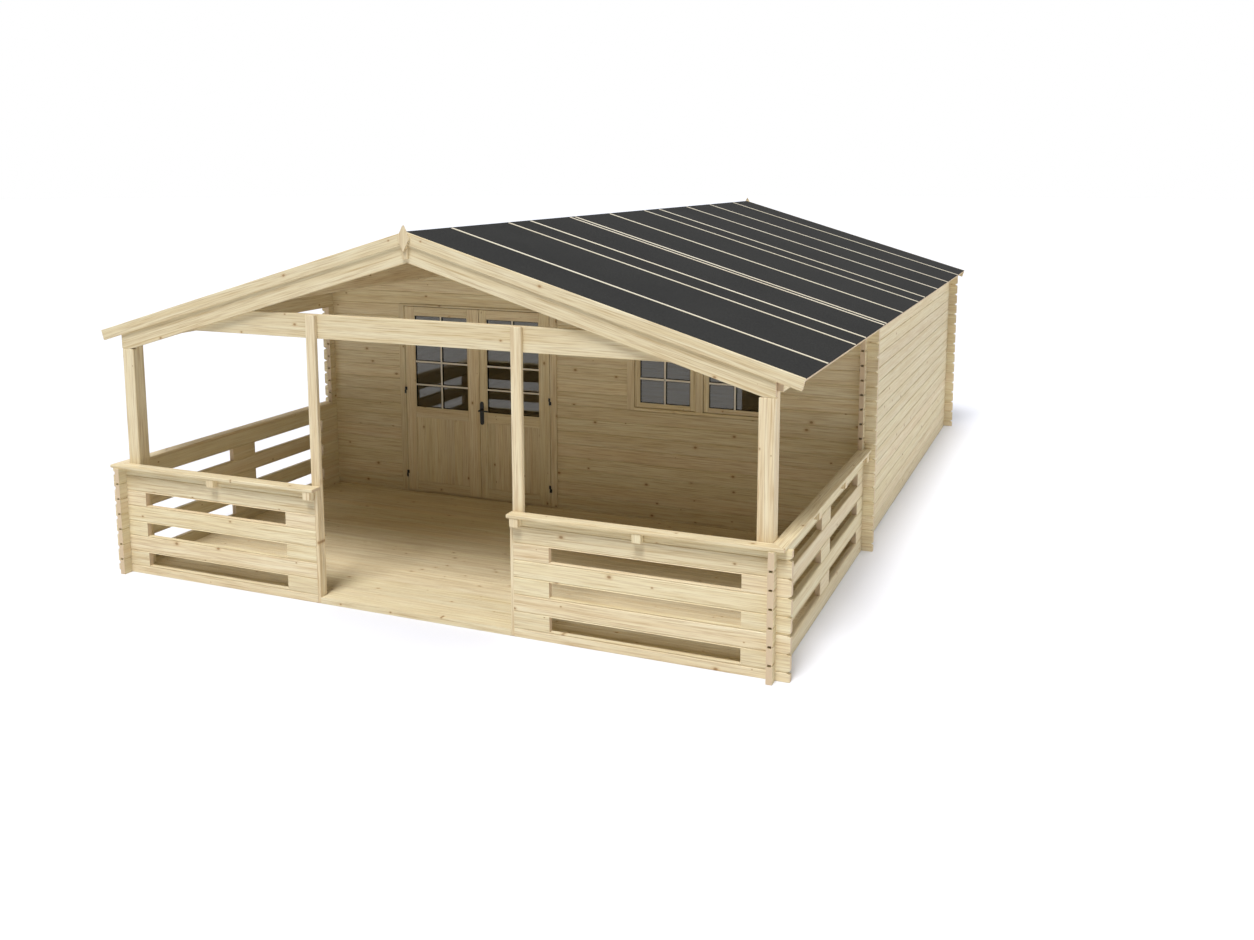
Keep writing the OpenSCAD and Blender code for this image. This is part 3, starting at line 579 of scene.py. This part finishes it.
# %% Both leaves
for side in ("left", "right"):
    low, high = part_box(side + "_door")
    glass_low, glass_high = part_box(side + "_door_glass")
    leaf, shade_strips = bmesh.new(), bmesh.new()
    inner = (glass_low.x, glass_high.x)
    for x0, x1 in ((low.x, inner[0]), (inner[1], high.x)):
        eased_board(leaf, (x0, low.y, low.z), (x1, high.y, high.z), EASE, number=x0)
    foot = low.z + BOTTOM_RAIL
    for z, tall in ((low.z, BOTTOM_RAIL), (foot + PANEL_H, MID_RAIL), (high.z - TOP_RAIL, TOP_RAIL)):
        eased_board(leaf, (inner[0] + BUTT, low.y, z), (inner[1] - BUTT, high.y, z + tall), EASE,
                    number=z + low.x, slot=LEVEL)
    width = (inner[1] - inner[0]) / PANEL_BOARDS
    middle = (low.y + high.y) / 2
    for i in range(PANEL_BOARDS):
        x = inner[0] + i * width
        eased_board(leaf, (x, middle - PANEL_T / 2, foot),
                    (x + width - BUTT, middle + PANEL_T / 2, foot + PANEL_H), PANEL_V, number=i + 3 * low.x)
    glazing(leaf, shade_strips, Vector((inner[0], low.y, glass_low.z)), Vector((inner[1], high.y, glass_high.z)),
            (glass_low.y, glass_high.y), 2, 4)
    piece(side + "_leaf", leaf, JOINERY, body=side + "_leaf", stands_for=[side + "_door"])
    piece(side + "_leaf_painted_shade_tape", shade_strips, [SHADE_TAPE], body=side + "_leaf")

# %% [markdown]
# ## Window sashes
# The window has two sashes side by side, each with two columns of three panes. They are joined like the door
# leaves, with thinner stiles and rails. The real sashes open, but nothing shows how, so they stay shut here.

# %% Sashes
SASH_W, SASH_STILE, SASH_RAIL = 564 * MM, 44 * MM, 36 * MM
low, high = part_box("window_sashes")
glass_low, glass_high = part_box("window_glass")
sash_back = high.y
sashes, shade_strips = bmesh.new(), bmesh.new()
for left in (low.x, high.x - SASH_W):
    right = left + SASH_W
    for x in (left, right - SASH_STILE):
        eased_board(sashes, (x, low.y, low.z), (x + SASH_STILE, high.y, high.z), EASE, number=x)
    for z in (low.z, high.z - SASH_RAIL):
        eased_board(sashes, (left + SASH_STILE + BUTT, low.y, z),
                    (right - SASH_STILE - BUTT, high.y, z + SASH_RAIL), EASE, number=z + left, slot=LEVEL)
    glazing(sashes, shade_strips, Vector((left + SASH_STILE, low.y, low.z + SASH_RAIL)),
            Vector((right - SASH_STILE, high.y, high.z - SASH_RAIL)), (glass_low.y, glass_high.y), 2, 3)
piece("window_joinery", sashes, JOINERY, stands_for=["window_sashes"])
piece("window_painted_shade_tape", shade_strips, [SHADE_TAPE])

# %% [markdown]
# ## Window frame
# The frame is a lining in the wall with a flat trim on its face: two uprights, a head, a strip under the
# sashes and a wide post between them. A thin stop at the back keeps the sashes from falling in. It is put
# together from boards, as a joiner would, so that the grain turns at each corner.

# %% Trim and post
TRIM, HEAD, UNDER, POST, LINING, STOP = 68 * MM, 40 * MM, 25 * MM, 68 * MM, 25 * MM, 16 * MM
low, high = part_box("window_frame")
face = high.y - LOG_T
surround = bmesh.new()
for x in (low.x, high.x - TRIM):
    eased_board(surround, (x, low.y, low.z), (x + TRIM, face, high.z), EASE, number=x)
for z, tall in ((low.z, UNDER), (high.z - HEAD, HEAD)):
    eased_board(surround, (low.x + TRIM + BUTT, low.y, z), (high.x - TRIM - BUTT, face, z + tall), EASE,
                number=z, slot=LEVEL)
middle = (low.x + high.x) / 2
eased_board(surround, (middle - POST / 2, low.y, low.z + UNDER + BUTT),
            (middle + POST / 2, high.y, high.z - HEAD - BUTT), EASE, number=middle)
print("trim", round(high.x - low.x, 3), "by", round(high.z - low.z, 3), "m")

# %% Lining and stops
ends = (low.x + TRIM, high.x - TRIM)
top = high.z - HEAD
for x0, x1, number in ((ends[0] - LINING, ends[0], ends[0] + 1), (ends[1], ends[1] + LINING, ends[1] + 1)):
    eased_board(surround, (x0, face, low.z), (x1, high.y, top + LINING), EASE / 2, number=number)
for z in (low.z, top):
    eased_board(surround, (ends[0], face, z), (ends[1], high.y, z + LINING), EASE / 2,
                number=z + 1, slot=LEVEL)
back = sash_back + BUTT
for left, right in ((ends[0], middle - POST / 2), (middle + POST / 2, ends[1])):
    for x in (left, right - STOP):
        eased_board(surround, (x, back, low.z + UNDER), (x + STOP, high.y, top), EASE / 2, number=x + 2)
    for z in (low.z + UNDER, top - STOP):
        eased_board(surround, (left + STOP, back, z), (right - STOP, high.y, z + STOP), EASE / 2,
                    number=z + left, slot=LEVEL)
piece("window_surround", surround, [UPRIGHT, BEAM_ACROSS], stands_for=["window_frame"])

# %% [markdown]
# ## Handle fittings
# The solid handle is a bare plate and lever. A real one has a collar round the neck of the lever, a lock
# below it and a screw at each end, all of them round, so each is an outline turned round an axis that points
# out of the door.

# %% Turning an outline
def turned(mesh, x, z, outline, sides=24):
    """Turns a closed outline of (radius, y) points round an axis along y."""
    rings = []
    for i in range(sides):
        a = 2 * math.pi * i / sides
        rings.append([mesh.verts.new((x + r * math.cos(a), y, z + r * math.sin(a))) for r, y in outline])
    for i in range(sides):
        one, two = rings[i - 1], rings[i]
        for k in range(len(outline)):
            mesh.faces.new((one[k - 1], one[k], two[k], two[k - 1]))


# %% Collar, lock and screws
NECK_R, COLLAR_R, COLLAR_T, COLLAR_EASE = 9 * MM, 15 * MM, 6 * MM, 2 * MM
LOCK_DROP, LOCK_R, LOCK_T = 72 * MM, 9 * MM, 2 * MM
SCREW_IN, SCREW_R, SCREW_T = 14 * MM, 4.5 * MM, 1.2 * MM
SAME_POINT = 0.001 * MM
low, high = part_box("handle_plate")
lever_low, lever_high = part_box("handle_lever")
middle, neck_z, face = (low.x + high.x) / 2, (lever_low.z + lever_high.z) / 2, low.y
fittings = bmesh.new()
turned(fittings, middle, neck_z, [(NECK_R, face), (COLLAR_R, face), (COLLAR_R, face - COLLAR_T / 2),
                                  (COLLAR_R - COLLAR_EASE, face - COLLAR_T), (NECK_R, face - COLLAR_T)])
for z, r, t in ((neck_z - LOCK_DROP, LOCK_R, LOCK_T), (low.z + SCREW_IN, SCREW_R, SCREW_T),
                (high.z - SCREW_IN, SCREW_R, SCREW_T)):
    turned(fittings, middle, z, [(0, face), (r, face), (r - t / 2, face - t), (0, face - t)])
bmesh.ops.remove_doubles(fittings, verts=fittings.verts[:], dist=SAME_POINT)
piece("handle_fittings", fittings, [IRON], body="right_leaf")

# %% [markdown]
# ## Floor and sky
# The house stands on a plain white floor in front of white. Both are white to the eye, to mirrors and to
# glass, but throw less light on the house, so that its shaded side keeps its shade. The floor is just pale
# enough to be white in full light, so the shadow shows from its edge inwards.

# %% White floor
def seen_directly(tree):
    """One for rays from the camera, mirrors and glass, and nought for rays that light other surfaces."""
    rays = add(tree, "LightPath").outputs
    seen = add(tree, "Math", {0: rays["Is Camera Ray"], 1: rays["Is Glossy Ray"]}, operation="MAXIMUM")
    seen = add(tree, "Math", {0: seen.outputs[0], 1: rays["Is Transmission Ray"]}, operation="MAXIMUM")
    return seen.outputs[0]


def white_floor():
    """A plain matt floor that keeps the shadow: one colour for the eye, one for the light it throws back."""
    material, tree, shader = blank("white_floor")
    shade = add(tree, "MixRGB", {"Fac": seen_directly(tree), "Color1": linear("#EDEDED"),
                                 "Color2": linear("#EEF0F8")})
    tree.links.new(shade.outputs[0], shader.inputs["Base Color"])
    shader.inputs["Roughness"].default_value = 1.0
    shader.inputs["Specular IOR Level"].default_value = 0.0
    return material


FLOOR_R, FLOOR_SIDES, FLOOR_DROP = 120.0, 64, 2 * MM
ground = bmesh.new()
bmesh.ops.create_circle(ground, cap_ends=True, segments=FLOOR_SIDES, radius=FLOOR_R)
bmesh.ops.translate(ground, verts=ground.verts[:], vec=(0, 0, -FLOOR_DROP))
floor_mesh = bpy.data.meshes.new("floor")
ground.to_mesh(floor_mesh)
ground.free()
floor_mesh.materials.append(white_floor())
floor = bpy.data.objects.new("floor", floor_mesh)
bpy.context.scene.collection.objects.link(floor)
floor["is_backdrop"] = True
print("floor", 2 * FLOOR_R, "m across")

# %% White sky
SKY_LIGHT, SKY_SEEN = 0.045, 1.0
world = bpy.data.worlds.new("white_sky")
bpy.context.scene.world = world
world.use_nodes = True
sky = world.node_tree
strength = add(sky, "MapRange", {"Value": seen_directly(sky), "To Min": SKY_LIGHT, "To Max": SKY_SEEN})
sky.links.new(strength.outputs[0], sky.nodes["Background"].inputs["Strength"])
sky.nodes["Background"].inputs["Color"].default_value = (1, 1, 1, 1)
print("sky", SKY_SEEN, "to the eye and", SKY_LIGHT, "to the house")

# %% [markdown]
# ## Lamps
# The picture's light is that of a studio: two broad keys from high in front, so that the roof shades the
# room's front wall, two weaker lamps from above and behind for the roof, and two low ones from the right for
# the long wall. Each is a sun with a wide disc, which gives soft edges to the shadows and the same light from
# every distance. A lamp is turned by the direction from the house towards it.

# %% Six soft lamps
SOFT = math.radians(20)
LAMPS = {
    "key_front": (1.95, (0.0, -0.5, 0.866)),
    "key_high_front": (1.20, (0.0, -0.342, 0.940)),
    "top_left_back": (0.25, (-0.296, 0.171, 0.940)),
    "top_back": (0.50, (0.0, 0.174, 0.985)),
    "low_right_back": (0.71, (0.847, 0.489, 0.208)),
    "low_right_front": (0.10, (0.847, -0.489, 0.208)),
}
for name, (energy, towards) in LAMPS.items():
    lamp = bpy.data.lights.new(name, "SUN")
    lamp.energy = energy
    lamp.angle = SOFT
    holder = bpy.data.objects.new(name, lamp)
    holder.rotation_euler = Vector(towards).to_track_quat("Z", "Y").to_euler()
    bpy.context.scene.collection.objects.link(holder)
print("lamps", len(LAMPS))

# %% [markdown]
# ## Camera
# The camera stands out to the front right, a little above the ridge, and looks down at the house. Its lens is
# shifted down as well, as the photograph is framed, which keeps the posts nearly upright.

# %% Camera and view
FRAME_W = 1254                 # the photograph's width in pixels
FOCAL, DROP = 1168.2, 130      # focal length and downward shift of the lens, in those pixels
YAW, TILT = math.radians(22.417), math.radians(8.376)
STANDS_AT = (4.4127, -10.7425, 3.1588)
FARTHEST = 500
camera = bpy.data.cameras.new("camera")
camera.sensor_fit = "HORIZONTAL"
camera.sensor_width = 36.0
camera.lens = camera.sensor_width * FOCAL / FRAME_W
camera.shift_y = -DROP / FRAME_W
camera.clip_end = FARTHEST
viewer = bpy.data.objects.new("camera", camera)
viewer.location = STANDS_AT
viewer.rotation_euler = (math.pi / 2 - TILT, 0, YAW)
bpy.context.scene.collection.objects.link(viewer)
bpy.context.scene.camera = viewer
bpy.context.scene.view_settings.view_transform = "Standard"
print("lens", round(camera.lens, 2), "shift", round(camera.shift_y, 4))

# %% [markdown]
# ## The size of the dressed house
# The box round the dressed house is printed on the last line. The dressed house has to stay inside the
# CAD box.

# %% Sizes and finish
low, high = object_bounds()
print("visual box", [round(v, 3) for v in low], [round(v, 3) for v in high])
